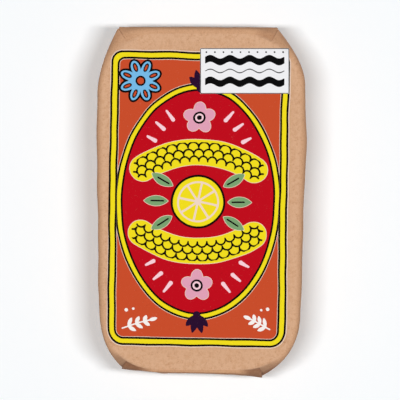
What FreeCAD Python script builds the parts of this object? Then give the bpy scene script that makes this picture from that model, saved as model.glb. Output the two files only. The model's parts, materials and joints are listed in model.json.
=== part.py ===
"""A sardine tin wrapped in kraft paper, lying on its back with the printed front up.

The tin is shut and out of sight, so the wrapped pack is one solid: the tin's rounded block with
the paper corners that stand off it at its two ends, the slanted facets between those corners and
the tin's rim, the end flaps folded over each other, and the step of the overlapped seam on the
back. A small paper sticker lies on the front as a second solid.

Frame: millimetres, origin at the middle of the pack's footprint, +Z out of the printed front,
+Y towards the head of the print, +X to its right.
"""

import FreeCAD
import Part

import math
import os
from collections import namedtuple

Vector = FreeCAD.Vector

# ---- Driving dimensions, in millimetres and degrees ------------------------------------------
# The wrapped block, measured over its paper. The paper is looser at the head than at the foot,
# and nearly all of that slack is on the right.
body_length = 104.4
head_width = 63.9
foot_width = 60.7
foot_offset = -0.75
height = 25.0
head_corner_radius = 17.0
foot_corner_radius = 15.0
front_edge_radius = 1.0
back_edge_radius = 1.6

# Paper corners: where the end folds keep the paper off the tin's round corners. Each has its side
# (X) and end (Y), the inset of its tip from the body's square corner and the tip's reach past the
# end wall. Its facet is bounded by a crease that meets the end a run further in, at a reach of its
# own, and drops at the tip.
PaperCorner = namedtuple("PaperCorner", "side end inset reach crease_run crease_reach drop")
paper_corners = [
    PaperCorner(-1, +1, inset=7.0, reach=0.45, crease_run=6.0, crease_reach=0.40, drop=1.6),
    PaperCorner(+1, +1, inset=8.4, reach=0.15, crease_run=8.5, crease_reach=0.20, drop=3.0),
    PaperCorner(-1, -1, inset=7.0, reach=-1.60, crease_run=11.0, crease_reach=-0.50, drop=4.5),
    PaperCorner(+1, -1, inset=11.3, reach=1.20, crease_run=8.5, crease_reach=0.10, drop=8.0),
]

# End flaps, one ply of paper each: at either end the back's flap is folded up first and the
# front's flap is folded down over it. Each has its two insets from the body's side walls at its
# root fold, its length from that fold to its free edge, and the plies its face stands proud.
EndFlap = namedtuple("EndFlap", "end from_front left_inset right_inset length plies")
end_flaps = [
    EndFlap(end=+1, from_front=False, left_inset=9.0, right_inset=10.5, length=18.0, plies=1),
    EndFlap(end=+1, from_front=True, left_inset=7.5, right_inset=9.0, length=17.0, plies=2),
    EndFlap(end=-1, from_front=False, left_inset=12.0, right_inset=14.0, length=17.5, plies=1),
    EndFlap(end=-1, from_front=True, left_inset=10.5, right_inset=13.0, length=16.5, plies=2),
]
ply_relief = 0.22
flap_slope = 50.0

# Back seam: the outer ply ends on a line along Y, and the ply under it lies one step deeper.
seam_offset = -9.0
seam_step = 0.25

# The sticker, set in from the body's head and right-hand walls.
sticker_width = 27.2
sticker_length = 13.9
sticker_thickness = 0.12
sticker_corner_radius = 0.3
sticker_side_margin = 5.1
sticker_head_margin = 5.9

half_length = body_length / 2
beyond = body_length + head_width


def side_wall(side, y):
    """Where the side wall of the given side stands at y: straight from the foot to the head."""
    foot = foot_offset + side * foot_width / 2
    head = side * head_width / 2
    return foot + (head - foot) * (y + half_length) / body_length


def polygon_prism(points, travel):
    """The flat polygon through the points, extruded along the travel vector."""
    return Part.Face(Part.makePolygon(points + points[:1])).extrude(travel)


def polar(centre, radius, bearing):
    """The point at a radius and bearing from a centre."""
    return centre + Vector(math.cos(bearing), math.sin(bearing), 0) * radius


def level_edges(shape, z):
    """The edges that lie wholly at height z."""
    return [e for e in shape.Edges if all(abs(v.Z - z) < 1e-6 for v in e.Vertexes)]


class CornerPlan:
    """One paper corner from above, at z = 0: the tin's round corner from the side wall to where
    the paper leaves it on a tangent, the tip, and the crease's foot on the end."""

    def __init__(self, corner):
        side, end = corner.side, corner.end
        radius = head_corner_radius if end > 0 else foot_corner_radius
        slack = side_wall(side, half_length) - side_wall(side, -half_length)
        lean = math.atan(slack / body_length)
        centre_y = end * (half_length - radius)
        centre = Vector(side_wall(side, centre_y) - side * radius / math.cos(lean), centre_y, 0)

        tip_x = side_wall(side, end * half_length) - side * corner.inset
        self.corner = corner
        self.tip = Vector(tip_x, end * (half_length + corner.reach), 0)
        crease_x = tip_x - side * corner.crease_run
        self.crease = Vector(crease_x, end * (half_length + corner.crease_reach), 0)

        to_tip = self.tip - centre
        opening = math.acos(min(1, radius / to_tip.Length))
        leaving = math.atan2(to_tip.y, to_tip.x) - side * end * opening
        square_on = -lean if side > 0 else math.pi - lean
        turn = math.remainder(leaving - square_on, 2 * math.pi)
        self.start = polar(centre, radius, square_on)
        self.half_way = polar(centre, radius, square_on + turn / 2)
        self.leave = polar(centre, radius, leaving)

    def edges(self):
        """The corner's stretch of the outline."""
        arc = Part.Arc(self.start, self.half_way, self.leave).toShape()
        return [arc, Part.makeLine(self.leave, self.tip), Part.makeLine(self.tip, self.crease)]

    def facet_cutter(self):
        """Everything above the facet: the plane through the crease's two ends on the front and
        the dropped tip."""
        front = Vector(0, 0, height)
        ends = [self.leave + front, self.crease + front]
        tip = self.tip + front - Vector(0, 0, self.corner.drop)
        middle = (ends[0] + ends[1] + tip) / 3
        upward = (ends[1] - ends[0]).cross(tip - ends[0]).normalize()
        if upward.z < 0:
            upward = -upward
        along = (ends[1] - ends[0]).normalize() * beyond
        across = upward.cross(along)
        square = [middle - along - across, middle + along - across]
        square += [middle + along + across, middle - along + across]
        return polygon_prism(square, upward * beyond)


corner_plans = {(corner.side, corner.end): CornerPlan(corner) for corner in paper_corners}


def folded_block():
    """The tin's block in its paper, with its edges rounded and a facet at each paper corner."""
    edges = []
    for plan in corner_plans.values():
        edges += plan.edges()
    for side in (-1, +1):
        edges.append(Part.makeLine(corner_plans[side, -1].start, corner_plans[side, +1].start))
    for end in (-1, +1):
        edges.append(Part.makeLine(corner_plans[-1, end].crease, corner_plans[+1, end].crease))
    outline = Part.Wire(Part.sortEdges(edges)[0])
    block = Part.Face(outline).extrude(Vector(0, 0, height))
    block = block.makeFillet(front_edge_radius, level_edges(block, height))
    block = block.makeFillet(back_edge_radius, level_edges(block, 0))
    return block.cut([plan.facet_cutter() for plan in corner_plans.values()])


def end_flap(block, flap):
    """An end flap: the block's own end, moved out by its plies and trimmed to a trapezium that is
    widest at its root fold."""
    wall = flap.end * half_length
    root = height if flap.from_front else 0
    edge = height - flap.length if flap.from_front else flap.length
    left = side_wall(-1, wall) + flap.left_inset
    right = side_wall(+1, wall) - flap.right_inset
    narrowing = flap.length / math.tan(math.radians(flap_slope))
    trapezium = [(left, root), (right, root), (right - narrowing, edge), (left + narrowing, edge)]
    points = [Vector(x, 0, z) for x, z in trapezium]
    outward = Vector(0, flap.end * beyond, 0)
    proud = Vector(0, flap.end * flap.plies * ply_relief, 0)
    return block.translated(proud).common(polygon_prism(points, outward))


def seam_recess():
    """What the outer ply leaves uncovered on the back: all of it to the left of the seam."""
    corner = Vector(seam_offset - beyond, -beyond, 0)
    return Part.makeBox(beyond, 2 * beyond, seam_step, corner)


def wrapped_tin():
    """The whole wrapped pack as one solid."""
    block = folded_block()
    flaps = [end_flap(block, flap) for flap in end_flaps]
    return block.fuse(flaps).cut(seam_recess()).removeSplitter()


def corner_sticker():
    """The sticker: a thin plate lying on the front, near its head and right-hand walls."""
    right = side_wall(+1, half_length) - sticker_side_margin
    top = half_length - sticker_head_margin
    left = right - sticker_width
    bottom = top - sticker_length
    plan = [(left, bottom), (right, bottom), (right, top), (left, top)]
    points = [Vector(x, y, height) for x, y in plan]
    plate = polygon_prism(points, Vector(0, 0, sticker_thickness))
    upright = [e for e in plate.Edges if abs(e.Vertexes[0].Z - e.Vertexes[1].Z) > 1e-6]
    return plate.makeFillet(sticker_corner_radius, upright)


def export(name, shape, shift):
    """Moves one node by the shift and writes it, after checking that it is one closed solid."""
    if not shape.isValid() or len(shape.Solids) != 1:
        raise ValueError(f"{name} is not one valid solid")
    solid = shape.Solids[0].translated(shift)
    solid.exportStep(os.path.join("parts", name + ".step"))
    box = solid.optimalBoundingBox(False, False)
    print(f"{name}: {solid.Volume:.1f} mm3, x {box.XMin:.2f} to {box.XMax:.2f}, "
          f"y {box.YMin:.2f} to {box.YMax:.2f}, z {box.ZMin:.2f} to {box.ZMax:.2f}")


os.makedirs("parts", exist_ok=True)
pack = wrapped_tin()
footprint = pack.optimalBoundingBox(False, False)
to_middle = Vector(-footprint.Center.x, -footprint.Center.y, 0)
export("wrapped_tin", pack, to_middle)
export("corner_sticker", corner_sticker(), to_middle)
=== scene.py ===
"""A flat fish tin in a folded, printed kraft paper wrapper, lying on its back."""

import json
import math
from collections import namedtuple

import bpy
import numpy as np
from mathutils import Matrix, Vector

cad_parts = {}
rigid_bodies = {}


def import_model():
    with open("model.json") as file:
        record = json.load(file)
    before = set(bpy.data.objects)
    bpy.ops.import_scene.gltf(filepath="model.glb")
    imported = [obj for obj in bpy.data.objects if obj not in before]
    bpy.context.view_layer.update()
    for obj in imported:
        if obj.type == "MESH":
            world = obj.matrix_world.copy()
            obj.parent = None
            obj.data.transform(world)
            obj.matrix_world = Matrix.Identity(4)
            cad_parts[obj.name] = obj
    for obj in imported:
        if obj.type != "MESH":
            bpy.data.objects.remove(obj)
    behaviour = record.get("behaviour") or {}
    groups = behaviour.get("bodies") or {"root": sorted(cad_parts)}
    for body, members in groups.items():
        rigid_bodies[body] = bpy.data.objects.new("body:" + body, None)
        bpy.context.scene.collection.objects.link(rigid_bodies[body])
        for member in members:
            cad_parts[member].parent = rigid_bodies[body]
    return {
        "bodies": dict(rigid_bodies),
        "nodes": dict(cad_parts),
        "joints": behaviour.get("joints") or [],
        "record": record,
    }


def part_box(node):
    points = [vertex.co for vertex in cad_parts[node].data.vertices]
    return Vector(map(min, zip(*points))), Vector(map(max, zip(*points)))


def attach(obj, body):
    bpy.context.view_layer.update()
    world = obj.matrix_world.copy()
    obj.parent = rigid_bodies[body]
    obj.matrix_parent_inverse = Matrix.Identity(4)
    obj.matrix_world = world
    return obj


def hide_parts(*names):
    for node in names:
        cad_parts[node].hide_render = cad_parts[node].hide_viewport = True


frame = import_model()

bl_info = {
    "name": "Wrapped Sardine Tin",
    "version": (1, 0, 0),
    "blender": (4, 5, 0),
    "location": "3D View > Sidebar > Sardine Tin",
    "description": "A flat fish tin in a folded, printed kraft paper wrapper",
    "category": "Object",
}

# ---- The frame, in millimetres ---------------------------------------------------------------
MM = 0.001
BODY = "root"
PACK = "wrapped_tin"
STICKER = "corner_sticker"
PACK_LOW, PACK_HIGH = (np.array(corner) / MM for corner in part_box(PACK))
STICKER_LOW, STICKER_HIGH = (np.array(corner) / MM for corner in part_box(STICKER))
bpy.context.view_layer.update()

# ---- The wrapped block's plan, in the same sizes as its solid ---------------------------------
BODY_LENGTH = 104.4
HEAD_WIDTH = 63.9
FOOT_WIDTH = 60.7
FOOT_OFFSET = -0.75
HEAD_MIDDLE = 0.12
HEAD_RADIUS = 17.0
FOOT_RADIUS = 15.0

# The bare sheet lies this far below the printed skin that covers it, and the sticker lies a little
# left of its solid and nearer the head.
HIDDEN_DROP = 0.3
STICKER_SHIFT = (-0.15, 0.35, 0)

# The height from which a flat sheet is pressed down on the front.
PRESS_FROM = PACK_HIGH[2] + 5

# How many points the meshes have round the pack's outline.
COLUMNS = 760

# Each paper corner: its side (X) and end (Y); the inset of its tip from the body's square corner
# and the tip's reach past the end wall; the run of its crease along the end and that crease's own
# reach; how deep the paper falls at the tip; how far from the end wall it leaves the side wall,
# and how far from the end wall the tangent from the tip meets it; and how dark the painted shade
# on its fold is.
PaperCorner = namedtuple(
    "PaperCorner", "side end inset reach crease_run crease_reach drop leave turn brown"
)
CORNERS = [
    PaperCorner(-1, -1, 6.6, -1.50, 11.0, -0.50, 6.5, 19.5, 7.9, 1.0),
    PaperCorner(+1, -1, 11.0, 1.20, 8.5, 0.10, 8.0, 17.0, 5.0, 0.9),
    PaperCorner(+1, +1, 8.5, 0.15, 8.5, 0.20, 3.2, 16.9, 10.2, 0.4),
    PaperCorner(-1, +1, 6.3, 0.45, 6.0, 0.40, 1.9, 20.0, 11.0, 0.15),
]
CORNER_AT = {(corner.side, corner.end): corner for corner in CORNERS}
FOOT_WALL = PACK_LOW[1] + CORNER_AT[1, -1].reach
HEAD_WALL = FOOT_WALL + BODY_LENGTH

# The flaps at either end: the depths of the root and the edge along the folded paper (see the
# Wrapping class), each side edge's inset at the root, how many plies up the flap lies, and the
# share of the flap lift that its edges curl up by.
Flap = namedtuple("Flap", "name root edge inset plies curl")
FLAPS = [Flap("back_flap", 3.6, 2.30, 1.2, 1, 0.15), Flap("front_flap", 1.05, 2.74, 0.1, 2, 1.0)]


WHITE = (1, 1, 1)


# ---- Settings ---------------------------------------------------------------------------------
def length(name, millimetres, description):
    """A length that a user may change, given here in millimetres and kept in metres."""
    return bpy.props.FloatProperty(
        name=name,
        description=description,
        default=millimetres * MM,
        unit="LENGTH",
        precision=5,
    )


def angle(name, degrees, description):
    """An angle that a user may change, given here in degrees and kept in radians."""
    return bpy.props.FloatProperty(
        name=name, description=description, default=math.radians(degrees), subtype="ANGLE"
    )


def ink(name, red, green, blue, description):
    """A colour that a user may change, given here as a screen shows it, from 0 to 255."""
    return bpy.props.FloatVectorProperty(
        name=name,
        description=description,
        default=[from_screen(part) for part in (red, green, blue)],
        subtype="COLOR",
        size=3,
        min=0,
        max=1,
    )


def amount(name, value, description):
    """A plain number that a user may change."""
    return bpy.props.FloatProperty(name=name, description=description, default=value)


def from_screen(level):
    """A screen level from 0 to 255 as linear light: the usual power of 2.4 above its toe."""
    share = level / 255
    return share / 12.92 if share <= 0.04045 else ((share + 0.055) / 1.055) ** 2.4


class WrapperSizes(bpy.types.PropertyGroup):
    side_inset: length("Side inset", 1.9, "How far inside the side walls the tin's rim lies")
    head_inset: length("Head inset", 1.6, "How far inside the head wall the tin's rim lies")
    foot_inset: length("Foot inset", 0.9, "How far inside the foot wall the tin's rim lies")
    side_swell: length("Side swell", 0.27, "How far the paper swells out along the sides")
    right_bump: length("Right bump", 0.6, "How far the crumple on the right side stands out")
    bump_up: length("Bump up", 17, "That crumple's middle, above the pack's")
    bump_reach: length("Bump reach", 7, "That crumple's reach each way")
    back_inset: length("Back inset", 1.6, "The round of the paper at the back edge")
    lid_sag: length("Lid sag", 0.22, "How far the front sinks between the tin's rims")
    crinkle: length("Crinkle", 0.05, "The height of the paper's soft crinkles")
    wall_slack: length("Wall slack", 0.12, "How far the paper stands off the walls half way down")
    ply: length("Ply", 0.16, "The thickness of one ply of paper")
    flap_lift: length("Flap lift", 0.3, "How far an end flap stands off the ply beneath it")
    lap_edge: length("Lap edge", -8.86, "The back lap's edge, right of the pack's middle")
    lap_width: length("Lap width", 24, "How far the back lap reaches under the sheet")
    lap_stand: length("Lap stand", 0.02, "How far the back lap stands out of the back")
    print_lift: length("Print lift", 0.03, "How far the printed skin lies above the bare sheet")


class PrintSizes(bpy.types.PropertyGroup):
    half_width: length("Half width", 27.15, "Half the width of the printed frame")
    half_length: length("Half length", 44.95, "Half the length of the printed frame")
    corner: length("Corner", 3.1, "The outer radius of the printed frame's corners at the head")
    foot_corner: length("Foot corner", 4.9, "The outer radius of its corners at the foot")
    inner_corner: length("Inner corner", 2.0, "The radius inside the frame's corners at the head")
    inner_foot_corner: length("Inner foot corner", 2.9, "The radius inside them at the foot")
    middle_right: length("Middle right", -0.75, "The frame's middle, right of the pack's")
    middle_up: length("Middle up", 0.80, "The frame's middle, above the pack's")
    margin: length("Margin", 0.45, "The bare edge of the printed skin round the frame")
    keyline: length("Keyline", 0.62, "The black lines' width")
    frame_band: length("Frame band", 1.34, "The frame's yellow band")
    oval_band: length("Oval band", 1.15, "The oval's yellow band")
    oval_half_width: length("Oval half width", 25.2, "Half the oval's width over its keyline")
    oval_half_length: length("Oval half length", 36.1, "Half the oval's length over its keyline")
    oval_up: length("Oval up", -0.8, "The oval's middle, above the frame's")
    halo: length("Halo", 0.3, "The pale edge round the frame")
    hairline: length("Hairline", 0.14, "The pale edge round each motif")
    wobble: length("Wobble", 0.09, "How far the drawn lines wander")
    bow: length("Bow", 0.45, "How far the frame's left side bows out half way up")
    lean: angle("Lean", 0.88, "How far the print leans to the right")


class InkColours(bpy.types.PropertyGroup):
    cream: ink("Cream", 238, 214, 196, "The pale underprint at the edges")
    black: ink("Black", 12, 8, 10, "Keylines and linework")
    yellow: ink("Yellow", 240, 220, 30, "Bands and waves")
    orange: ink("Orange", 200, 77, 43, "The frame's ground")
    red: ink("Red", 190, 12, 28, "The oval's ground")
    pink: ink("Pink", 224, 160, 182, "Blossoms")
    pale: ink("Pale", 248, 207, 216, "Strokes and dots")
    green: ink("Green", 122, 162, 112, "Leaves")
    blue: ink("Blue", 118, 186, 230, "The corner rosette")
    white: ink("White", 246, 240, 236, "Sprigs and rings")
    plum: ink("Plum", 42, 14, 46, "The oval's two ornaments")


class PaperLook(bpy.types.PropertyGroup):
    kraft: ink("Kraft", 208, 161, 124, "The wrapper's bare paper")
    # The pale kraft serves both for pale fibres and for the painted highlight along the folds.
    kraft_light: ink("Light kraft", 222, 180, 147, "Its pale fibres and worn folds")
    kraft_dark: ink("Dark kraft", 160, 110, 76, "Its dark fibres and specks")
    # Painted shade: this dark brown stands in for the shade on the tucked folds' facets and along the
    # walls' top edge.
    kraft_brown: ink("Brown kraft", 126, 74, 46, "The tucked folds, where the paper shows brown")
    label_white: ink("Label white", 240, 240, 242, "The sticker's paper")
    label_grey: ink("Label grey", 228, 228, 231, "The clouds in the sticker's paper")
    label_black: ink("Label black", 10, 10, 11, "The sticker's ink")
    roughness: amount("Roughness", 0.78, "How dull the paper is")
    ink_roughness: amount("Ink roughness", 0.62, "How dull the ink is")
    label_roughness: amount("Label roughness", 0.55, "How dull the sticker is")
    gloss: amount("Gloss", 0.15, "How much the paper mirrors at a glance")
    label_gloss: amount("Label gloss", 0.2, "How much the sticker mirrors at a glance")


class StageLook(bpy.types.PropertyGroup):
    floor: ink("Floor", 250, 253, 255, "The pale floor")
    floor_half: length("Floor half width", 6000, "Half the floor's width")
    floor_drop: length("Floor drop", 0.05, "How far the floor lies below the pack's back")
    white_from: length("White from", 220, "Where the floor starts to turn to plain white")
    white_to: length("White to", 420, "Where the floor is plain white")
    camera_height: length("Camera height", 2400, "From the floor")
    view_width: length("View width", 122.0, "The width of floor that the camera sees")
    view_right: length("View right", -0.42, "The view's middle, right of the pack's")
    view_up: length("View up", 0.5, "The view's middle, above the pack's")
    lamp_height: length("Lamp height", 1600, "From the floor")
    lamp_width: length("Lamp width", 500, "Across the pack")
    lamp_length: length("Lamp length", 120, "Along the pack")
    lamp_apart: length("Lamp apart", 370, "From the lamps' middle to each lamp's")
    lamp_right: length("Lamp right", 60, "The lamps' middle, right of the pack's")
    lamp_up: length("Lamp up", -10, "The lamps' middle, above the pack's")
    lamp_power: amount("Lamp power", 12.45, "The watts of each lamp")
    sky: amount("Sky", 0.11, "The light that comes from all round")


GROUPS = {
    "tin_wrapper": WrapperSizes,
    "tin_print": PrintSizes,
    "tin_inks": InkColours,
    "tin_paper": PaperLook,
    "tin_stage": StageLook,
}


def settings(name):
    """One of the scene's groups of settings."""
    return getattr(bpy.context.scene, name)


def sizes(name):
    """A group's lengths as plain numbers in millimetres, and its angles in radians."""
    group = settings(name)
    found = {}
    for key in group.__annotations__:
        kind = group.bl_rna.properties[key].unit
        found[key] = getattr(group, key) / (MM if kind == "LENGTH" else 1)
    return namedtuple(name, found)(**found)


# ---- Small shapes of number -------------------------------------------------------------------
def smooth(low, high, value):
    """0 at low and before it, 1 at high and past it, and an S-curve 3t^2 - 2t^3 between them."""
    share = np.clip((value - low) / (high - low), 0, 1)
    return share * share * (3 - 2 * share)


def ripple(x, y, reach, seed, waves=7):
    """Soft crinkles about 0, mostly from -1 to 1: the sum of sine waves over the square root of
    their number. They run in random directions with random phases, and their wavelengths go from
    half the reach to twice the reach."""
    rng = np.random.default_rng(seed)
    heading = rng.uniform(0, 2 * math.pi, waves)
    phase = rng.uniform(0, 2 * math.pi, waves)
    stretch = 2 * math.pi / (reach * 2 ** rng.uniform(-1, 1, waves))
    total = 0
    for turn, start, rate in zip(heading, phase, stretch):
        total = total + np.sin((x * math.cos(turn) + y * math.sin(turn)) * rate + start)
    return total / waves ** 0.5


def side_wall(side, y):
    """Where a side wall stands at y: straight from the foot to the head."""
    foot = HEAD_MIDDLE + FOOT_OFFSET + side * FOOT_WIDTH / 2
    head = HEAD_MIDDLE + side * HEAD_WIDTH / 2
    return foot + (head - foot) * (y - FOOT_WALL) / BODY_LENGTH


def tip_of(corner):
    """Where a paper corner's tip lies in plan."""
    wall = HEAD_WALL if corner.end > 0 else FOOT_WALL
    x = side_wall(corner.side, wall) - corner.side * corner.inset
    return np.array([x, wall + corner.end * corner.reach])


# ---- The wrapper as one surface ---------------------------------------------------------------
class Wrapping:
    """The folded paper's outer surface, as a point for each way and depth. The way is the distance
    round the pack's outline in millimetres, anticlockwise from above. The depth runs along the
    paper: 0 to 1 from the front's middle to the tin's rim, 1 to 2 over the rim to the wall, 2 to 3
    down the wall, 3 to 4 round the back edge, and 4 to 5 in to the back's middle."""

    # How far the paper falls from the rim to the wall, as a share of how far it goes outwards.
    RIM_FALL = 0.9

    def __init__(self, wrapper):
        self.wrapper = wrapper
        stretches = [
            self.side_stretch(-1)[::-1],
            self.corner_stretch(CORNER_AT[-1, -1]),
            self.corner_stretch(CORNER_AT[+1, -1])[::-1],
            self.side_stretch(+1),
            self.corner_stretch(CORNER_AT[+1, +1]),
            self.corner_stretch(CORNER_AT[-1, +1])[::-1],
        ]
        loop = np.concatenate(stretches + [stretches[0][:1]])
        step = np.hypot(*np.diff(loop[:, :2], axis=0).T)
        self.ways = np.concatenate([[0], np.cumsum(step)])
        self.x, self.y, self.facet, self.fold, self.tip_drop, self.brown = loop.T
        self.length = self.ways[-1]

    def side_stretch(self, side):
        """One side wall's stretch of the outline, from foot to head, as rows of x, y, facet, fold,
        tip drop and painted shade: the straight wall, a rippled swell that dies away at both ends,
        and on the right a bump shaped like a bell."""
        dying, count = 9, 120
        low = FOOT_WALL + CORNER_AT[side, -1].leave
        high = HEAD_WALL - CORNER_AT[side, +1].leave
        y = np.linspace(low, high, count + 2)[1:-1]
        wrapper = self.wrapper
        bell = np.exp(-(((y - wrapper.bump_up) / wrapper.bump_reach) ** 2))
        swell = wrapper.side_swell * (1 + 0.4 * ripple(y, side, 14, 12))
        swell = swell + wrapper.right_bump * bell * (side > 0)
        swell = swell * smooth(low, low + dying, y) * (1 - smooth(high - dying, high, y))
        zero = 0 * y
        return np.stack([side_wall(side, y) + side * swell, y, zero, zero, zero, zero], 1)

    def corner_stretch(self, corner):
        """One corner's stretch of the outline, from the side wall round to the end, as rows of x,
        y, facet, fold, tip drop and painted shade. A quadratic curve leaves the side wall on a tangent
        and ends at the tip; there the paper turns sharply and runs on straight to the crease on the
        end. The facet's share rises in straight lines to the tip from the curve's last third and
        from the crease, and the fold is 1 at the tip alone. The painted shade goes with the facet,
        and is fainter on the curve than on the straight run."""
        side, end = corner.side, corner.end
        faint = 0.35
        wall = HEAD_WALL if end > 0 else FOOT_WALL
        tip = tip_of(corner)
        crease = np.array([tip[0] - side * corner.crease_run, wall + end * corner.crease_reach])
        leave_y, turn_y = wall - end * corner.leave, wall - end * corner.turn
        leave = np.array([side_wall(side, leave_y), leave_y])
        turn = np.array([side_wall(side, turn_y), turn_y])

        share = np.linspace(0, 1, 181)[:, None]
        curve = leave * (1 - share) ** 2 + turn * 2 * share * (1 - share) + tip * share**2
        run = share[1:]
        straight = tip + (crease - tip) * run
        facet = np.concatenate([np.clip(share * 3 - 2, 0, 1), 1 - run])
        fold = np.concatenate([share**24, (1 - run) ** 12])
        places = np.concatenate([curve, straight])
        brown = corner.brown * smooth(0.05, 0.6, facet)
        brown[: len(curve)] *= faint
        return np.concatenate([places, facet, fold, 0 * fold + corner.drop, brown], 1)

    def at(self, way, values):
        """A quantity of the outline at each way, straight between its points."""
        return np.interp(np.mod(way, self.length), self.ways, values)

    def way_of(self, place):
        """The way at which the outline passes nearest a place in plan."""
        return self.ways[np.argmin(np.hypot(self.x - place[0], self.y - place[1]))]

    def rim(self, x, y):
        """The nearest point of the tin's rim to a point outside it, in plan: straight in from the
        walls, and towards a round corner's middle beyond that middle."""
        beside = self.wrapper.side_inset
        found_x = np.clip(x, side_wall(-1, y) + beside, side_wall(+1, y) - beside)
        foot, head = FOOT_WALL + self.wrapper.foot_inset, HEAD_WALL - self.wrapper.head_inset
        found_y = np.clip(y, foot, head)
        for corner in CORNERS:
            radius = HEAD_RADIUS if corner.end > 0 else FOOT_RADIUS
            middle_y = (head if corner.end > 0 else foot) - corner.end * radius
            middle_x = side_wall(corner.side, middle_y) - corner.side * (radius + beside)
            dx, dy = x - middle_x, y - middle_y
            away = np.hypot(dx, dy) + 1e-9
            beyond = (dx * corner.side > 0) & (dy * corner.end > 0)
            found_x = np.where(beyond, middle_x + dx / away * radius, found_x)
            found_y = np.where(beyond, middle_y + dy / away * radius, found_y)
        return found_x, found_y

    def front(self, x, y):
        """The front's height: level at the rim, sunk between the rims by the square root of the
        product of two parabolas, with long and short crinkles over it."""
        rim, room_for_crinkles = 2, 0.1
        across = np.clip(1 - (x / (HEAD_WIDTH / 2 - rim)) ** 2, 0, 1)
        along = np.clip(1 - (y / (BODY_LENGTH / 2 - rim)) ** 2, 0, 1)
        sunk = self.wrapper.lid_sag * (across * along) ** 0.5
        crinkles = self.wrapper.crinkle * (ripple(x, y, 16, 3) + 0.5 * ripple(x, y, 5, 4))
        return PACK_HIGH[2] - room_for_crinkles - sunk + crinkles

    def point(self, way, depth):
        """The surface's points. Over the rim the paper goes from the rim to the wall as a quarter
        round, turning into a straight slope with the facet's share. Down the wall it stands off in
        a soft bulge with long and short crinkles, and round the back edge it is a quarter round."""
        way, depth = np.broadcast_arrays(np.asarray(way, float), np.asarray(depth, float))
        wrapper = self.wrapper
        out_x, out_y = self.at(way, self.x), self.at(way, self.y)
        facet, tip_drop = self.at(way, self.facet), self.at(way, self.tip_drop)
        rim_x, rim_y = self.rim(out_x, out_y)
        away = np.hypot(out_x - rim_x, out_y - rim_y) + 1e-9
        drop = self.RIM_FALL * away * (1 - facet) + tip_drop * facet
        top = self.front(rim_x, rim_y)

        inner = np.clip(depth, 0, 1)
        x, y = rim_x * inner, rim_y * inner
        z = self.front(x, y)

        turn = np.clip(depth - 1, 0, 1)
        outward = facet * turn + (1 - facet) * np.sin(turn * math.pi / 2)
        downward = facet * turn + (1 - facet) * (1 - np.cos(turn * math.pi / 2))
        x = x + (out_x - rim_x) * outward
        y = y + (out_y - rim_y) * outward
        z = z - drop * downward

        low = wrapper.back_inset
        fall = np.clip(depth - 2, 0, 1)
        edge = top - drop
        z = np.where(depth > 2, edge + (low - edge) * fall, z)
        slack = wrapper.wall_slack * np.sin(math.pi * fall) * (1 - facet)
        bulge = slack * (0.6 + ripple(way, z * 2.2, 26, 8) + 0.35 * ripple(way, z * 3, 8, 9))
        x = x + (out_x - rim_x) / away * bulge
        y = y + (out_y - rim_y) / away * bulge

        under = np.clip(depth - 3, 0, 1)
        inward = 1 - np.cos(under * math.pi / 2)
        x = x + (rim_x - out_x) * inward
        y = y + (rim_y - out_y) * inward
        z = np.where(depth > 3, low * (1 - np.sin(under * math.pi / 2)), z)

        home = np.clip(depth - 4, 0, 1)
        return np.stack([x * (1 - home), y * (1 - home), z], -1)

    def lifted(self, way, depth, lift):
        """The surface moved out along its normal, which is the cross product of its two slopes."""
        small = 1e-3
        along = self.point(way + small, depth) - self.point(way - small, depth)
        down = self.point(way, depth + small) - self.point(way, depth - small)
        normal = np.cross(down, along)
        normal /= np.linalg.norm(normal, axis=-1, keepdims=True) + 1e-12
        return self.point(way, depth) + normal * np.asarray(lift)[..., None]

    def browning(self, way, depth):
        """How dark the painted shade is, from 0 to 1: on the facets between the rim and the wall, and
        on a line along the wall's top, which is darker at the foot."""
        facets = self.at(way, self.brown) * smooth(1.0, 1.12, depth)
        at_foot = smooth(FOOT_WALL + 3, FOOT_WALL, self.at(way, self.y))
        line = (0.4 + 0.6 * at_foot) * smooth(1.35, 1.85, depth)
        return np.maximum(facets, line) * (1 - smooth(2.0, 2.2, depth))

    def columns(self, count):
        """Ways for the mesh's columns, closer together near the folds: the outline's length is
        weighted by a hump at each tip and shared out evenly."""
        ways = np.linspace(0, self.length, 8001)
        weight = 1 + 6 * self.at(ways, self.fold)
        total = np.concatenate([[0], np.cumsum((weight[1:] + weight[:-1]) / 2)])
        return np.interp(np.arange(count) / count * total[-1], total, ways)


# ---- Meshes -----------------------------------------------------------------------------------
def new_piece(name, points, faces):
    """A mesh piece at the origin from points in millimetres, riding on the body."""
    mesh = bpy.data.meshes.new(name)
    mesh.from_pydata((points.reshape(-1, 3) * MM).tolist(), [], faces)
    mesh.shade_smooth()
    piece = bpy.data.objects.new(name, mesh)
    bpy.context.collection.objects.link(piece)
    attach(piece, BODY)
    return piece


def quads(rows, columns, closed=False):
    """The four-sided faces of a grid of rows and columns of points, closed into a ring or not."""
    row = np.arange(rows - 1)[:, None]
    column = np.arange(columns if closed else columns - 1)[None, :]
    beside = (column + 1) % columns
    corners = [
        row * columns + column,
        (row + 1) * columns + column,
        (row + 1) * columns + beside,
        row * columns + beside,
    ]
    return np.stack([c.reshape(-1) for c in corners], 1).tolist()


def fan(pole, ring, outward):
    """Triangles from a pole to a ring of points, turned one way round or the other."""
    beside = np.roll(ring, -1)
    first, second = (ring, beside) if outward else (beside, ring)
    return np.stack([np.full_like(ring, pole), first, second], 1).tolist()


def finish_piece(piece, node, material, thickness=0):
    """Gives a piece its material and, where it is a separate ply, its thickness, inwards. It takes
    the place of a node."""
    piece.data.materials.append(bpy.data.materials[material])
    if thickness:
        solid = piece.modifiers.new("Paper thickness", "SOLIDIFY")
        solid.thickness = thickness * MM
        solid.offset = -1
    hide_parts(node)


def keep_number(piece, name, values):
    """Stores one number for each point of a piece."""
    data = piece.data.attributes.new(name, "FLOAT", "POINT")
    data.data.foreach_set("value", np.ascontiguousarray(values, np.float32).reshape(-1))


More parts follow.
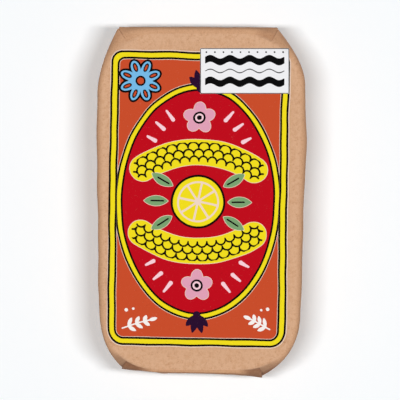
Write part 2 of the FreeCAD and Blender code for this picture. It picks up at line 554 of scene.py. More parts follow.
def press(piece, lift):
    """Presses a flat sheet straight down on the wrapper's front and rims, a small lift above them,
    and keeps the result as its mesh."""
    wrapping = Wrapping(sizes("tin_wrapper"))
    ways, depths = wrapping.columns(COLUMNS), np.linspace(0.01, 2, 260)
    points = wrapping.point(ways[None, :], depths[:, None])
    mesh = bpy.data.meshes.new("mould")
    faces = quads(len(depths), len(ways), closed=True) + [list(range(len(ways)))]
    mesh.from_pydata((points.reshape(-1, 3) * MM).tolist(), [], faces)
    mould = bpy.data.objects.new("mould", mesh)
    bpy.context.collection.objects.link(mould)
    pressing = piece.modifiers.new("Pressed on the front", "SHRINKWRAP")
    pressing.target = mould
    pressing.wrap_method = "PROJECT"
    pressing.use_project_z = True
    pressing.use_negative_direction = True
    pressing.use_positive_direction = False
    pressing.offset = lift * MM
    flat = piece.data
    flat_and_pressed = piece.evaluated_get(bpy.context.evaluated_depsgraph_get())
    piece.data = bpy.data.meshes.new_from_object(flat_and_pressed)
    piece.data.shade_smooth()
    piece.modifiers.clear()
    bpy.data.objects.remove(mould)
    for spent in (mesh, flat):
        bpy.data.meshes.remove(spent)


# ---- Drawn shapes: signed distances in millimetres, negative inside ----------------------------
def box_round(x, y, half_width, half_length, radius):
    """A rounded rectangle: the distance to its inner square corner, less the radius."""
    dx, dy = abs(x) - half_width + radius, abs(y) - half_length + radius
    outside = np.hypot(np.maximum(dx, 0), np.maximum(dy, 0))
    return outside + np.minimum(np.maximum(dx, dy), 0) - radius


def disc(x, y, radius):
    """A disc: the distance from its middle less its radius."""
    return np.hypot(x, y) - radius


def oval(x, y, half_width, half_length):
    """An ellipse, near enough: its scaled radius less 1, over the slope of that radius."""
    scaled = np.hypot(x / half_width, y / half_length)
    slope = np.hypot(x / half_width**2, y / half_length**2)
    return scaled * (scaled - 1) / (slope + 1e-9)


def turned(x, y, middle_x, middle_y, degrees):
    """Places seen from a middle, along and across a direction."""
    c, s = math.cos(math.radians(degrees)), math.sin(math.radians(degrees))
    dx, dy = x - middle_x, y - middle_y
    return dx * c + dy * s, dy * c - dx * s


def leaf(x, y, root_x, root_y, degrees, long, wide):
    """A leaf from its root along a direction: what two equal discs share, whose radius is
    (long^2 + wide^2) / (4 wide)."""
    along, across = turned(x, y, root_x, root_y, degrees)
    radius = (long**2 + wide**2) / (4 * wide)
    return np.hypot(along - long / 2, abs(across) + radius - wide / 2) - radius


def stroke(x, y, root_x, root_y, degrees, long, wide, taper=0.0):
    """A brush stroke: the distance to a straight line less half its width, which tapers along."""
    along, across = turned(x, y, root_x, root_y, degrees)
    share = np.clip(along / long, 0, 1)
    return np.hypot(along - share * long, across) - wide / 2 * (1 - taper * share)


def bow(x, y, radius, half_angle, wide):
    """A curved stroke about the origin, centred on +y: the distance to an arc less half a width."""
    angle = np.clip(np.arctan2(x, y), -half_angle, half_angle)
    return np.hypot(x - radius * np.sin(angle), y - radius * np.cos(angle)) - wide / 2


def union(*shapes):
    """The nearest of several shapes."""
    return np.minimum.reduce(np.broadcast_arrays(*shapes))


# ---- The print --------------------------------------------------------------------------------
def from_print(x, y, drawing):
    """A place in the print's own axes as a place on the pack: leant to the right, then moved."""
    c, s = math.cos(drawing.lean), math.sin(drawing.lean)
    return drawing.middle_right + x * c + y * s, drawing.middle_up + y * c - x * s


def to_print(x, y, drawing):
    """A place on the pack as a place in the print's own axes: from_print undone."""
    c, s = math.cos(drawing.lean), math.sin(drawing.lean)
    x, y = x - drawing.middle_right, y - drawing.middle_up
    return x * c - y * s, y * c + x * s


def scaled_arch(x, y):
    """A yellow arch above the middle and its row pattern. The arch is a broad bow about a middle
    below it; the pattern is rows of small half rings, each row half a step along."""
    middle_y, radius, half_angle, wide = -15.0, 30.1, 0.6, 7.8
    step, line, first_row, row_gap, edge = 3.1, 0.27, 1.15, 2.15, 0.75
    arch = bow(x, y - middle_y, radius, half_angle, wide)
    radial = np.hypot(x, y - middle_y)
    around = np.arctan2(x, y - middle_y) * radius
    rows = []
    for row in range(3):
        across = np.mod(around + step / 2 * (row % 2), step) - step / 2
        above = radial - radius + wide / 2 - first_row - row_gap * row
        ring = abs(np.hypot(across, above) - step / 2) - line
        ends = np.hypot(abs(across) - step / 2, above) - line
        rows.append(np.where(above > 0, ring, ends))
    return arch, np.maximum(union(*rows), arch + edge)


def blossom(x, y):
    """A five-petalled flower, the pale disc at its middle, and the black ring and dot on that."""
    petal_out, half_long, half_wide = 2.7, 2.1, 1.75
    heart, eye, ring, ring_line, dot = 2.0, 1.5, 1.55, 0.6, 0.72
    petals = []
    for petal in range(5):
        along, across = turned(x, y, 0, 0, 90 + 72 * petal)
        petals.append(oval(along - petal_out, across, half_long, half_wide))
    ring_and_dot = union(abs(disc(x, y, ring)) - ring_line / 2, disc(x, y, dot))
    return union(*petals, disc(x, y, heart)), disc(x, y, eye), ring_and_dot


def citrus(x, y, radius):
    """A cut fruit's parts: its outline, its rind's inner edge and its eight segments."""
    rind, flesh_from_edge, heart, half_wall, turned_by = 1.6, 2.15, 1.0, 0.32, 0.2
    along = np.hypot(x, y)
    turn = np.mod(np.arctan2(y, x) + turned_by, math.pi / 4) - math.pi / 8
    flesh = np.maximum(along - radius + flesh_from_edge, heart - along)
    walls = along * np.sin(math.pi / 8 - abs(turn))
    return along - radius, along - radius + rind, np.maximum(flesh, half_wall - walls)


def fruit_leaves(x, y):
    """Three leaves on each side of the cut fruit, fanned out from its middle, and their ribs."""
    leaves, ribs = [], []
    for degrees in (-31, 0, 31, 149, 180, 211):
        along, across = turned(x, y, 0, 0, degrees)
        leaves.append(leaf(along, across, 9.0, 0, 0, 7.4, 3.1))
        ribs.append(stroke(along, across, 10.4, 0, 0, 3.8, 0.5))
    return union(*leaves), union(*ribs)


def rays(x, y):
    """Three strokes in each quarter, set on an oval and pointing straight out from it. The
    quarters are alike, so the first one's strokes are measured from the places without signs."""
    half_width, half_length, wide, taper = 17.6, 28.0, 1.25, 0.45
    strokes = []
    for place in range(3):
        angle = math.radians(63 - 11 * place)
        root_x, root_y = half_width * math.cos(angle), half_length * math.sin(angle)
        heading = math.degrees(math.atan2(root_y / half_length**2, root_x / half_width**2))
        long = 3.3 - 0.35 * place
        strokes.append(stroke(abs(x), abs(y), root_x, root_y, heading, long, wide, taper))
    return union(*strokes)


def rosette(x, y):
    """An eight-petalled flower with a hole in each petal and at its middle, and its black lines."""
    petal_out, hole_out, heart, eye = 4.0, 4.3, 3.2, 1.3
    petals, holes = [], []
    for petal in range(8):
        along, across = turned(x, y, 0, 0, 22.5 + 45 * petal)
        petals.append(oval(along - petal_out, across, 2.75, 1.75))
        holes.append(oval(along - hole_out, across, 1.2, 0.5))
    flower, middle = union(*petals, disc(x, y, heart)), disc(x, y, eye)
    lines = [abs(flower + 0.1) - 0.3, abs(middle) - 0.27] + [abs(hole) - 0.2 for hole in holes]
    return np.maximum(flower, -union(*holes, middle)), union(*lines)


def sprig(x, y, root_x, root_y, degrees, long):
    """A twig with three pairs of leaves, which grow smaller towards its end, and one leaf there."""
    along, across = turned(x, y, root_x, root_y, degrees)
    spread, wide = 48, 1.15
    parts = [stroke(along, across, 0, 0, 0, long, 0.42)]
    parts.append(leaf(along, across, long * 0.92, 0, 0, 2.8, wide))
    for pair in range(3):
        run, leaf_long = long * (0.2 + 0.27 * pair), 2.9 - 0.3 * pair
        for side in (-1, 1):
            parts.append(leaf(along, across, run, 0, side * spread, leaf_long, wide))
    return union(*parts)


def foot_corners(x, y):
    """A sprig and two dots in each of the frame's corners at the foot."""
    big, small = 0.55, 0.4
    dots = [(-21.4, -33.4, big), (-19.3, -33.0, small), (21.6, -32.6, big), (19.6, -32.9, small)]
    parts = [disc(x - dot_x, y - dot_y, radius) for dot_x, dot_y, radius in dots]
    return union(sprig(x, y, -22.6, -38.9, 18, 9.0), sprig(x, y, 22.4, -38.6, 154, 7.0), *parts)


def palmette(x, y):
    """Four leaves fanned out from a round knob at the origin, the outer two a little shorter."""
    leaves = []
    for spread in (-44, -15, 15, 44):
        leaves.append(leaf(x, y, 0, 0, 90 + spread, 6.4 - abs(spread) / 30, 2.1))
    return union(*leaves, disc(x, y, 1.15))


def ink_fields(x, y, drawing):
    """The print as signed distances for each ink, by name, at places in the frame's own axes."""
    outer = np.where(y > 0, drawing.corner, drawing.foot_corner)
    inner = np.where(y > 0, drawing.inner_corner, drawing.inner_foot_corner)
    band = drawing.keyline + drawing.frame_band
    frame = box_round(x, y, drawing.half_width, drawing.half_length, outer)
    frame_inside = box_round(
        x, y, drawing.half_width - band, drawing.half_length - band, inner
    )

    y = y - drawing.oval_up
    blossom_up, knob_up = 25.6, drawing.oval_half_length - 1.6
    upper_and_lower = zip(scaled_arch(x, y), scaled_arch(-x, -y))
    arches, scales = (union(*pair) for pair in upper_and_lower)
    upper_and_lower = zip(blossom(x, y - blossom_up), blossom(x, y + blossom_up))
    petals, eyes, rings = (union(*pair) for pair in upper_and_lower)
    fruit, pith, segments = citrus(x, y, 7.9)
    leaves, ribs = fruit_leaves(x, y)
    flower, flower_lines = rosette(x + 18.2, y - 36.6)
    return {
        "frame_depth": -frame,
        "frame_inside": -frame_inside,
        "oval_depth": -oval(x, y, drawing.oval_half_width, drawing.oval_half_length),
        "yellow_ink": union(arches, fruit),
        "cream_ink": np.maximum(pith, -segments),
        "green_ink": leaves,
        "pink_ink": petals,
        "pale_ink": union(rays(x, y), eyes),
        "blue_ink": flower,
        "white_ink": foot_corners(x, y),
        "plum_ink": union(palmette(x, y - knob_up), palmette(x, -y - knob_up)),
        "black_ink": union(scales, abs(fruit) - 0.33, ribs, rings, flower_lines),
    }


def sticker_fields(x, y, half_width, half_length):
    """The sticker's black ink: a keyline, two wavy bands, a row of dots and a fine wavy line."""
    keyline, band, fine_line, corner, margin = 0.24, 2.1, 0.32, 0.3, 1.5
    swing, wave_long, band_up = 0.55, 6.0, 3.3
    dot, dot_gap, dots_up = 0.28, 2.6, 5.75
    edge = box_round(x, y, half_width - keyline / 2, half_length - keyline / 2, corner)
    wave = swing * np.sin(x * 2 * math.pi / wave_long)
    bands = union(abs(y - band_up - wave), abs(y + band_up - wave)) - band / 2
    line = abs(y - wave) - fine_line / 2
    dots = disc(np.mod(x, dot_gap) - dot_gap / 2, y - dots_up, dot)
    inside = abs(x) - half_width + margin
    return union(abs(edge) - keyline / 2, np.maximum(union(bands, line, dots), inside))


# ---- Shader maths -----------------------------------------------------------------------------
class Value:
    """A number in a shader. Python's arithmetic on it adds the Math nodes that work it out."""

    def __init__(self, recipe, socket):
        self.recipe = recipe
        self.socket = socket

    def maths(self, operation, *values):
        """The Math node of an operation on some values."""
        return self.recipe.add("ShaderNodeMath", {"operation": operation}, dict(enumerate(values)))

    def __add__(self, other):
        return self.maths("ADD", self, other)

    def __sub__(self, other):
        return self.maths("SUBTRACT", self, other)

    def __rsub__(self, other):
        return self.maths("SUBTRACT", other, self)

    def __mul__(self, other):
        return self.maths("MULTIPLY", self, other)

    def __neg__(self):
        return self.maths("MULTIPLY", self, -1)

    def above(self, edge, soft):
        """0 below an edge and 1 above it, over a soft step. A step below 0 turns it round."""
        return self.recipe.add(
            "ShaderNodeMapRange",
            {"clamp": True},
            {"Value": self, "From Min": edge - soft / 2, "From Max": edge + soft / 2},
        )

    __radd__ = __add__
    __rmul__ = __mul__


class Recipe:
    """The nodes of a material or of the world."""

    def __init__(self, owner):
        owner.use_nodes = True
        self.owner = owner
        self.nodes = owner.node_tree.nodes
        self.links = owner.node_tree.links

    def add(self, kind, choices, inputs, output=0):
        """A node of a kind, with its choices made first and then its sockets set or linked."""
        node = self.nodes.new(kind)
        for name, choice in choices.items():
            setattr(node, name, choice)
        for name, value in inputs.items():
            self.feed(node.inputs[name], value)
        return Value(self, node.outputs[output])

    def feed(self, socket, value):
        """Links a value to a socket, or sets the socket to a plain number, vector or colour."""
        if isinstance(value, Value):
            self.links.new(value.socket, socket)
        elif socket.type == "RGBA":
            socket.default_value = (*value, 1)
        else:
            socket.default_value = value

    def place(self, stretch=(1, 1, 1), turn=0.0):
        """The place on the object in millimetres, turned about Z and stretched."""
        spot = self.add("ShaderNodeTexCoord", {}, {}, "Object")
        scale = tuple(s / MM for s in stretch)
        return self.add(
            "ShaderNodeMapping", {}, {"Vector": spot, "Rotation": (0, 0, turn), "Scale": scale}
        )

    def noise(self, scale, detail, roughness=0.5, stretch=(1, 1, 1), turn=0.0):
        """Cloudy noise from 0 to 1, with scale features to the millimetre."""
        sockets = {"Vector": self.place(stretch, turn), "Scale": scale, "Detail": detail}
        return self.add("ShaderNodeTexNoise", {}, {**sockets, "Roughness": roughness})

    def number(self, name):
        """A number stored on the mesh."""
        return self.add("ShaderNodeAttribute", {"attribute_name": name}, {}, "Fac")

    def mix(self, share, under, over):
        """One colour over another."""
        return self.add("ShaderNodeMix", {"data_type": "RGBA"}, {0: share, 6: under, 7: over}, 2)

    def bump(self, strength, millimetres, height):
        """Bumps of a height from 0 to 1."""
        inputs = {"Strength": strength, "Distance": millimetres * MM, "Height": height}
        return self.add("ShaderNodeBump", {}, inputs)

    def finish(self, **inputs):
        """Feeds the shader's own sockets, by name with _ for a space."""
        for name, value in inputs.items():
            self.feed(self.nodes["Principled BSDF"].inputs[name.replace("_", " ")], value)

    def show(self, output, surface):
        """Links a surface to the output node of that name."""
        self.feed(self.nodes[output].inputs["Surface"], surface)


def paper_grain(recipe, paper):
    """Bare kraft's colour and height: slow mottling, long pale and dark fibres that lie two ways,
    and small dark specks."""
    mottle = recipe.noise(0.12, 4, 0.6).above(0.5, 0.5)
    grain = recipe.noise(2.6, 3, 0.7)
    fibre_one = recipe.noise(1.0, 3, 0.6, (0.5, 4.5, 1.5), 0.35).above(0.63, 0.14)
    fibre_two = recipe.noise(1.0, 3, 0.6, (4.2, 0.6, 1.5), -0.25).above(0.62, 0.14)
    specks = recipe.noise(1.9, 2, 0.4).above(0.71, 0.06)
    colour = recipe.mix(mottle * 0.22, paper.kraft, paper.kraft_light)
    colour = recipe.mix(grain.above(0.42, -0.3) * 0.38, colour, paper.kraft_dark)
    colour = recipe.mix(fibre_one * 0.34, colour, paper.kraft_light)
    colour = recipe.mix(fibre_two * 0.30, colour, paper.kraft_dark)
    colour = recipe.mix(specks * 0.65, colour, paper.kraft_dark)
    height = grain * 0.6 + fibre_one * 0.5 + fibre_two * 0.3
    return colour, height


def kraft_material():
    """The bare wrapper: kraft paper, paler along its folds, partly as wear and partly as painted
    highlight, and darkened to brown by painted shade on the folds' facets and the wall's top.
    """
    paper = settings("tin_paper")
    recipe = Recipe(bpy.data.materials.new("kraft paper"))
    colour, height = paper_grain(recipe, paper)
    # Paler along the rim's crest and the tips' folds, in patches: partly wear, partly painted highlight.
    wear = recipe.number("fold_wear") * recipe.noise(0.9, 3, 0.7).above(0.45, 0.2)
    colour = recipe.mix(wear * 0.6, colour, paper.kraft_light)
    # Painted shade: the folds' facets and a line along the wall's top are darkened towards brown.
    brown = recipe.number("fold_brown") * (recipe.noise(0.7, 3, 0.6) * 0.6 + 0.6)
    colour = recipe.mix(brown * 0.75, colour, paper.kraft_brown)
    bump = recipe.bump(0.35, 0.06, height)
    recipe.finish(
        Base_Color=colour, Roughness=paper.roughness, Normal=bump, Specular_IOR_Level=paper.gloss
    )


def printed_material():
    """The printed front: nested bands of ink from the frame's edge and the oval's edge inwards,
    then each motif over them with its pale hairline, and the black linework last."""
    paper = settings("tin_paper")
    inks = settings("tin_inks")
    drawing = sizes("tin_print")
    recipe = Recipe(bpy.data.materials.new("printed kraft paper"))
    colour, height = paper_grain(recipe, paper)
    soft = 0.07
    ragged = (recipe.noise(3.0, 2) - 0.5) * 0.09

    depth = recipe.number("frame_depth") + ragged
    line = drawing.keyline
    printed = depth.above(0, soft)
    colour = recipe.mix(depth.above(-drawing.halo, soft * 2) * 0.85, colour, inks.cream)
    colour = recipe.mix(printed, colour, inks.black)
    colour = recipe.mix(depth.above(line, soft), colour, inks.yellow)
    within = recipe.number("frame_inside") + ragged
    colour = recipe.mix(within.above(0, soft), colour, inks.black)
    inside = within.above(line, soft)
    colour = recipe.mix(inside, colour, inks.cream)
    colour = recipe.mix(within.above(line + drawing.hairline, soft), colour, inks.orange)

    depth = recipe.number("oval_depth") + ragged
    line, band = drawing.keyline * 0.95, drawing.oval_band
    colour = recipe.mix(depth.above(-drawing.hairline, soft) * inside, colour, inks.cream)
    colour = recipe.mix(depth.above(0, soft) * inside, colour, inks.black)
    colour = recipe.mix(depth.above(line, soft) * inside, colour, inks.yellow)
    colour = recipe.mix(depth.above(line + band, soft) * inside, colour, inks.black)
    colour = recipe.mix(depth.above(line * 2 + band, soft), colour, inks.red)

    motifs = [
        ("plum_ink", inks.plum, 0.0),
        ("yellow_ink", inks.yellow, drawing.hairline),
        ("cream_ink", inks.cream, 0.0),
        ("green_ink", inks.green, drawing.hairline),
        ("pink_ink", inks.pink, drawing.hairline),
        ("pale_ink", inks.pale, 0.0),
        ("blue_ink", inks.blue, 0.0),
        ("white_ink", inks.white, 0.0),
        ("black_ink", inks.black, 0.0),
    ]
    for name, shade, hairline in motifs:
        near = -(recipe.number(name) + ragged)
        if hairline:
            colour = recipe.mix(near.above(-hairline, soft), colour, inks.cream)
        colour = recipe.mix(near.above(0, soft), colour, shade)

    worn = recipe.noise(4.5, 2, 0.6).above(0.74, 0.05) * printed
    colour = recipe.mix(worn * 0.35, colour, inks.cream)
    bump = recipe.bump(0.3, 0.05, height)
    dull = paper.roughness + printed * (paper.ink_roughness - paper.roughness)
    recipe.finish(Base_Color=colour, Roughness=dull, Normal=bump, Specular_IOR_Level=paper.gloss)


def sticker_material():
    """The sticker: smooth white paper with black ink."""
    paper = settings("tin_paper")
    recipe = Recipe(bpy.data.materials.new("label paper"))
    ink_share = (-recipe.number("label_ink")).above(0, 0.06)
    cloud = recipe.noise(0.6, 3, 0.6)
    colour = recipe.mix(cloud * 0.1, paper.label_white, paper.label_grey)
    colour = recipe.mix(ink_share, colour, paper.label_black)
    bump = recipe.bump(0.2, 0.03, recipe.noise(3, 2))
    recipe.finish(
        Base_Color=colour,
        Roughness=paper.label_roughness,
        Normal=bump,
        Specular_IOR_Level=paper.label_gloss,
    )


# ---- Operators: one for each piece or group of like pieces -------------------------------------
class MakeWrapper(bpy.types.Operator):
    """Makes the folded paper all round the tin"""

    bl_idname = "sardine_tin.make_wrapper"
    bl_label = "Wrapper"

    def execute(self, context):
        wrapping = Wrapping(sizes("tin_wrapper"))
        ways = wrapping.columns(COLUMNS)
        # The rows of points lie closer together near the rim and the back edge.
        front = np.concatenate([np.linspace(0.12, 0.84, 7), np.linspace(0.86, 1, 10)])
        rim = 1 + np.linspace(0, 1, 10)[1:]
        wall = 2 + np.linspace(0, 1, 25)[1:]
        back_edge = 3 + np.linspace(0, 1, 8)[1:]
        back = 4 + np.linspace(0, 0.9, 9)[1:]
        depths = np.concatenate([front, rim, wall, back_edge, back])[:, None]
        grid = wrapping.point(ways, depths)
        grid[..., 2] -= HIDDEN_DROP * self.covered(grid[..., 0], grid[..., 1]) * (depths < 1.5)
        poles = wrapping.point(np.zeros(2), np.array([0.0, 5.0]))
        poles[0, 2] -= HIDDEN_DROP

        rows, columns = grid.shape[:2]
        count = rows * columns
        faces = quads(rows, columns, closed=True)
        faces += fan(count, np.arange(columns), outward=True)
        faces += fan(count + 1, np.arange(count - columns, count), outward=False)
        points = np.concatenate([grid.reshape(-1, 3), poles])
        piece = new_piece("paper_wrapper", points, faces)
        # Paleness along the folds: partly wear, partly painted highlight.
        keep_number(piece, "fold_wear", np.append(self.wear(wrapping, ways, depths), [0, 0]))
        # Painted shade on the folds' facets and along the wall's top.
        keep_number(piece, "fold_brown", np.append(wrapping.browning(ways, depths), [0, 0]))
        finish_piece(piece, PACK, "kraft paper")
        return {"FINISHED"}

    def covered(self, x, y):
        """1 where the printed skin covers the sheet, falling to 0 just inside the frame."""
        drawing = sizes("tin_print")
        drawn = to_print(x, y, drawing)
        inside = -box_round(*drawn, drawing.half_width, drawing.half_length, drawing.corner)
        return smooth(0.5, 2.5, inside)

    def wear(self, wrapping, ways, depths):
        """How pale the paper is, from 0 to 1, partly as wear and partly as painted highlight: at the
        tips' folds below the rim, and on a line round the tin's rim that is shaped like a bell. The back
        gets none."""
        fold = wrapping.at(ways, wrapping.fold) * smooth(1.2, 2, depths)
        rim_line = np.exp(-(((depths - 1.05) / 0.22) ** 2))
        return np.clip(np.maximum(fold, rim_line), 0, 1) * (depths < 4)


class MakePrintedFront(bpy.types.Operator):
    """Makes the printed skin that lies on the front"""

    bl_idname = "sardine_tin.make_printed_front"
    bl_label = "Printed front"

    def execute(self, context):
        drawing = sizes("tin_print")
        half_width = drawing.half_width + drawing.margin
        half_length = drawing.half_length + drawing.margin
        radius = drawing.corner + drawing.margin
        u, v = np.meshgrid(
            np.linspace(-half_width, half_width, 210), np.linspace(half_length, -half_length, 345)
        )
        # The grid's four corner squares are drawn in to quarter discs.
        over_u = np.clip(abs(u) - half_width + radius, 0, None) / radius
        over_v = np.clip(abs(v) - half_length + radius, 0, None) / radius
        round_u = over_u * np.sqrt(1 - over_v**2 / 2)
        round_v = over_v * np.sqrt(1 - over_u**2 / 2)
        x = np.sign(u) * (np.minimum(abs(u), half_width - radius) + radius * round_u)
        y = np.sign(v) * (np.minimum(abs(v), half_length - radius) + radius * round_v)

        pack_x, pack_y = from_print(x, y, drawing)
        points = np.stack([pack_x, pack_y, 0 * x + PRESS_FROM], -1)
        piece = new_piece("printed_front", points, quads(*x.shape))
        press(piece, sizes("tin_wrapper").print_lift)

        # Half way up, the print is moved to the left, and most so at its left side.
        bowing = drawing.bow * (1 - (y / half_length) ** 2) * (0.65 - 0.35 * x / half_width)
        drawn_x = x + bowing + drawing.wobble * ripple(x, y, 14, 21)
        drawn_y = y + drawing.wobble * ripple(x, y, 14, 22)
        for name, field in ink_fields(drawn_x, drawn_y, drawing).items():
            keep_number(piece, name, field)
        finish_piece(piece, PACK, "printed kraft paper")
        return {"FINISHED"}


class MakeEndFlaps(bpy.types.Operator):
    """Makes the flaps folded over each other at the two ends"""

    bl_idname = "sardine_tin.make_end_flaps"
    bl_label = "End flaps"

    def execute(self, context):
        wrapping = Wrapping(sizes("tin_wrapper"))
        for end, name in ((1, "head"), (-1, "foot")):
            tips = [wrapping.way_of(tip_of(CORNER_AT[side, end])) for side in (end, -end)]
            for flap in FLAPS:
                self.make_flap(wrapping, tips, name + "_" + flap.name, flap)
        return {"FINISHED"}

    def make_flap(self, wrapping, tips, name, flap):
        """One flap as a grid: across it, the way runs between the two tips less an inset that
        grows in a straight line along the wall; along it, the depth runs from root to edge. The
        root starts just inside the ply beneath, and the edges curl up unevenly."""
        wrapper = wrapping.wrapper
        side_slope, root_sunk, front_fall = 0.85, 0.1, 1.5
        height = PACK_HIGH[2] - front_fall - wrapper.back_inset
        across, along = np.linspace(0, 1, 121), np.linspace(0, 1, 41)[:, None]
        depth = flap.root + (flap.edge - flap.root) * along + 0 * across
        from_front = flap.root < flap.edge
        wall_share = abs(np.clip(depth, 2, 3) - (2 if from_front else 3))
        narrowing = flap.inset + side_slope * height * wall_share
        first, last = tips[0] + narrowing, tips[1] - narrowing
        way = first + (last - first) * across

        climb = smooth(0, 0.35, along)
        curl = smooth(0.75, 1, along) + 0.6 * abs(2 * across - 1) ** 8
        uneven = 0.6 + 0.5 * ripple(way, depth * 9, 12, 31 + flap.plies)
        curl = curl * uneven * wrapper.flap_lift * flap.curl
        lift = climb * (wrapper.ply * (2.2 * flap.plies - 0.8) + curl) - root_sunk * (1 - climb)
        points = wrapping.lifted(way, depth, lift)
        faces = quads(*way.shape)
        if not from_front:
            faces = [face[::-1] for face in faces]
        piece = new_piece(name, points, faces)
        # The flap's edge is paler: partly wear, partly painted highlight.
        keep_number(piece, "fold_wear", smooth(0.93, 1, along) + 0 * way)
        # Painted shade on the flap where it runs over the folds' facets and the wall's top.
        keep_number(piece, "fold_brown", wrapping.browning(way, depth))
        finish_piece(piece, PACK, "kraft paper", wrapper.ply)


class MakeBackLap(bpy.types.Operator):
    """Makes the sheet's outer ply where it laps over itself on the back"""

    bl_idname = "sardine_tin.make_back_lap"
    bl_label = "Back lap"

    def execute(self, context):
        wrapper = sizes("tin_wrapper")
        end_gap = 1.0
        half_length = BODY_LENGTH / 2 - wrapper.back_inset - end_gap
        middle = (HEAD_WALL + FOOT_WALL) / 2
        share, y = np.meshgrid(np.linspace(0, 1, 60), np.linspace(-1, 1, 120) * half_length + middle)
        wander = 0.12 * ripple(y, 0 * y, 30, 41)
        x = wrapper.lap_edge + wander + share * wrapper.lap_width
        points = np.stack([x, y, 0 * x - wrapper.lap_stand], -1)
        piece = new_piece("back_lap", points, quads(*x.shape))
        keep_number(piece, "fold_wear", 0 * x)
        finish_piece(piece, PACK, "kraft paper", wrapper.ply)
        return {"FINISHED"}


class MakeSticker(bpy.types.Operator):
    """Makes the white sticker at the front's corner"""

    bl_idname = "sardine_tin.make_sticker"
    bl_label = "Sticker"

    def execute(self, context):
        half = (STICKER_HIGH - STICKER_LOW) / 2
        middle = (STICKER_HIGH + STICKER_LOW) / 2 + STICKER_SHIFT
        thickness = STICKER_HIGH[2] - STICKER_LOW[2]
        x, y = np.meshgrid(np.linspace(-half[0], half[0], 137), np.linspace(half[1], -half[1], 71))
        points = np.stack([x + middle[0], y + middle[1], 0 * x + PRESS_FROM], -1)
        piece = new_piece("white_sticker", points, quads(*x.shape))
        keep_number(piece, "label_ink", sticker_fields(x, y, half[0], half[1]))
        press(piece, thickness)
        finish_piece(piece, STICKER, "label paper", thickness)
        return {"FINISHED"}


class MixMaterials(bpy.types.Operator):
    """Makes the paper and ink materials"""

    bl_idname = "sardine_tin.mix_materials"
    bl_label = "Materials"

    def execute(self, context):
        kraft_material()
        printed_material()
        sticker_material()
        return {"FINISHED"}


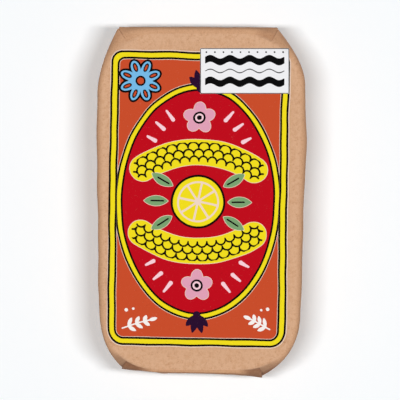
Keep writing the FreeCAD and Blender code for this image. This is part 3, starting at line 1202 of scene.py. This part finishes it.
class SetStage(bpy.types.Operator):
    """Sets the floor, the two lamps, the light from all round and the camera"""

    bl_idname = "sardine_tin.set_stage"
    bl_label = "Stage"

    def execute(self, context):
        look = settings("tin_stage")
        self.floor(look)
        self.lamps(look)
        self.sky(look)
        self.camera(look)
        context.scene.view_settings.view_transform = "Standard"
        return {"FINISHED"}

    def floor(self, look):
        """A level square under the pack, which turns to plain white for the camera far away."""
        mesh = bpy.data.meshes.new("floor")
        half, level = look.floor_half, -look.floor_drop
        corners = [(-half, -half, level), (half, -half, level), (half, half, level), (-half, half, level)]
        mesh.from_pydata(corners, [], [(0, 1, 2, 3)])
        floor = bpy.data.objects.new("floor", mesh)
        bpy.context.collection.objects.link(floor)
        recipe = Recipe(bpy.data.materials.new("floor"))
        recipe.finish(Base_Color=look.floor, Roughness=0.9, Specular_IOR_Level=0.0)
        away = recipe.add("ShaderNodeVectorMath", {"operation": "LENGTH"}, {0: recipe.place()}, 1)
        start, end = look.white_from / MM, look.white_to / MM
        seen = recipe.add("ShaderNodeLightPath", {}, {}, "Is Camera Ray")
        far = seen * away.above((start + end) / 2, end - start)
        pale = Value(recipe, recipe.nodes["Principled BSDF"].outputs[0])
        white = recipe.add("ShaderNodeEmission", {}, {"Color": WHITE, "Strength": 1.0})
        mixed = recipe.add("ShaderNodeMixShader", {}, {0: far, 1: pale, 2: white})
        recipe.show("Material Output", mixed)
        mesh.materials.append(recipe.owner)

    def lamps(self, look):
        """Two soft boxes overhead, side by side across the pack, narrow along it."""
        for side, name in ((-1, "left soft box"), (1, "right soft box")):
            data = bpy.data.lights.new(name, "AREA")
            data.shape = "RECTANGLE"
            data.size = look.lamp_width
            data.size_y = look.lamp_length
            data.energy = look.lamp_power
            lamp = bpy.data.objects.new(name, data)
            lamp.location = (look.lamp_right + side * look.lamp_apart, look.lamp_up, look.lamp_height)
            lamp.visible_camera = False
            lamp.visible_glossy = False
            bpy.context.collection.objects.link(lamp)

    def sky(self, look):
        """Even light from all round, which looks white to the camera."""
        world = bpy.data.worlds.new("sky")
        bpy.context.scene.world = world
        recipe = Recipe(world)
        light = recipe.add("ShaderNodeBackground", {}, {"Color": WHITE, "Strength": look.sky})
        white = recipe.add("ShaderNodeBackground", {}, {"Color": WHITE, "Strength": 1.0})
        seen = recipe.add("ShaderNodeLightPath", {}, {}, "Is Camera Ray")
        mixed = recipe.add("ShaderNodeMixShader", {}, {0: seen, 1: light, 2: white})
        recipe.show("World Output", mixed)

    def camera(self, look):
        """A long lens that looks straight down on the pack's front."""
        data = bpy.data.cameras.new("camera")
        data.sensor_width = 36
        top = PACK_HIGH[2] * MM
        data.lens = data.sensor_width * (look.camera_height - top) / look.view_width
        data.clip_end = 50
        camera = bpy.data.objects.new("camera", data)
        camera.location = (look.view_right, look.view_up, look.camera_height)
        bpy.context.collection.objects.link(camera)
        bpy.context.scene.camera = camera


OPERATORS = [
    MixMaterials,
    MakeWrapper,
    MakePrintedFront,
    MakeEndFlaps,
    MakeBackLap,
    MakeSticker,
    SetStage,
]


class TinPanel(bpy.types.Panel):
    """Lists a button for each piece, then the sizes and colours"""

    bl_idname = "VIEW3D_PT_sardine_tin"
    bl_label = "Wrapped Sardine Tin"
    bl_space_type = "VIEW_3D"
    bl_region_type = "UI"
    bl_category = "Sardine Tin"

    def draw(self, context):
        for operator in OPERATORS:
            self.layout.operator(operator.bl_idname)
        for name, group in GROUPS.items():
            box = self.layout.box()
            for key in group.__annotations__:
                box.prop(getattr(context.scene, name), key)


CLASSES = [*GROUPS.values(), *OPERATORS, TinPanel]


def register():
    """Makes the groups, the operators and the panel known, and puts the groups on the scene."""
    for made in CLASSES:
        bpy.utils.register_class(made)
    for name, group in GROUPS.items():
        setattr(bpy.types.Scene, name, bpy.props.PointerProperty(type=group))


def unregister():
    """Undoes register."""
    for name in GROUPS:
        delattr(bpy.types.Scene, name)
    for made in reversed(CLASSES):
        bpy.utils.unregister_class(made)


def main():
    """Makes the materials, the pieces and the stage in order."""
    register()
    for operator in OPERATORS:
        family, action = operator.bl_idname.split(".")
        getattr(getattr(bpy.ops, family), action)()


if __name__ == "__main__":
    main()
